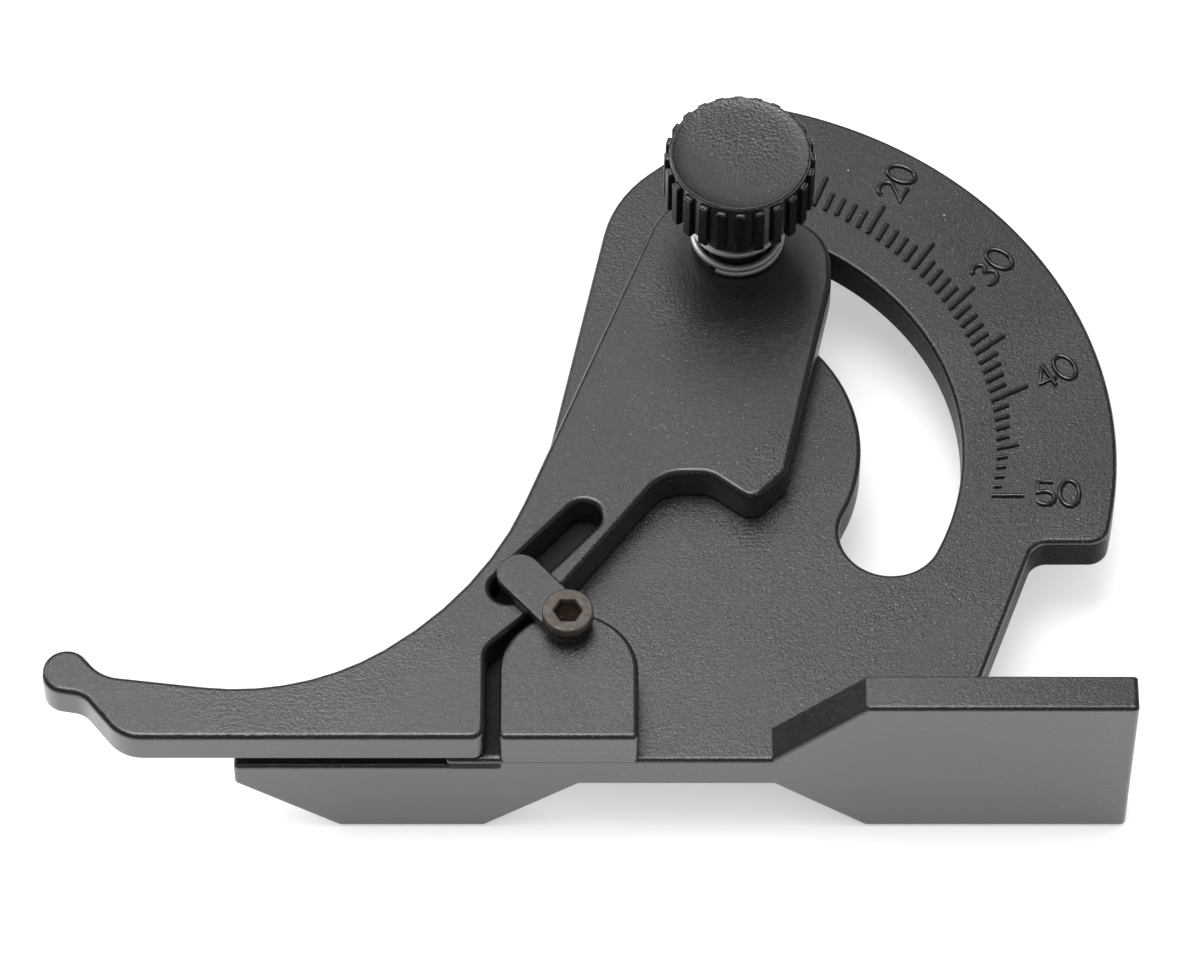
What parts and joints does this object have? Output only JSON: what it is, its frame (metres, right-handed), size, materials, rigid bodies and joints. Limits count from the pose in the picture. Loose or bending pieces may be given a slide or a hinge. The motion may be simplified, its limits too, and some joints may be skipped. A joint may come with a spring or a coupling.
{
  "type": "ride height gauge",
  "caption": "Black moulded ride height gauge: a quarter-round scale plate with a curved window, a pivoting lever arm with a feeler nose, and a fluted clamp knob.",
  "frame": {"origin": "middle of the floor rectangle under the part as it lies on its back", "axes": "+X along the base bar away from the feeler nose, +Y from the sole up to the rim, +Z out of the face that carries the scale"},
  "size_m": [0.1312, 0.0988, 0.0389],
  "materials": {
    "black_nylon": "fine-textured semi-gloss",
    "knob_nylon": "fine-textured",
    "dark_steel": "oiled, lightly rusted",
    "bright_steel": "bright nickel",
    "plain_steel": "plain",
    "brass": "plain"
  },
  "bodies": {
    "base": {"gauge_body": "black_nylon", "retainer_tab": "black_nylon", "tab_screw": "dark_steel", "pivot_pin": "plain_steel"},
    "carriage": {"guide_shoe": "black_nylon", "clamp_screw": "plain_steel", "rear_washer": "plain_steel"},
    "lever": {"lever_arm": "black_nylon"},
    "knob": {"thumb_knob": "knob_nylon", "knob_insert": "brass", "knob_spring": "bright_steel"}
  },
  "joints": [
    {"name": "carriage_travel", "type": "hinge", "parent": "base", "child": "carriage", "pos_m": [0.0115, -0.00377, 0.01255], "axis": [0, 0, 1], "range_deg": [-90, 0]},
    {"name": "lever_pivot", "type": "hinge", "parent": "carriage", "child": "lever", "pos_m": [0.01876, 0.02389, 0.0179], "axis": [0, 0, 1], "range_deg": [0, 45]},
    {"name": "knob_turn", "type": "hinge", "parent": "carriage", "child": "knob", "pos_m": [0.01876, 0.02389, 0.0253], "axis": [0, 0, 1], "continuous": true}
  ],
  "couplings": [
    {"joint": "lever_pivot", "follows": "carriage_travel", "ratio": -0.5}
  ]
}
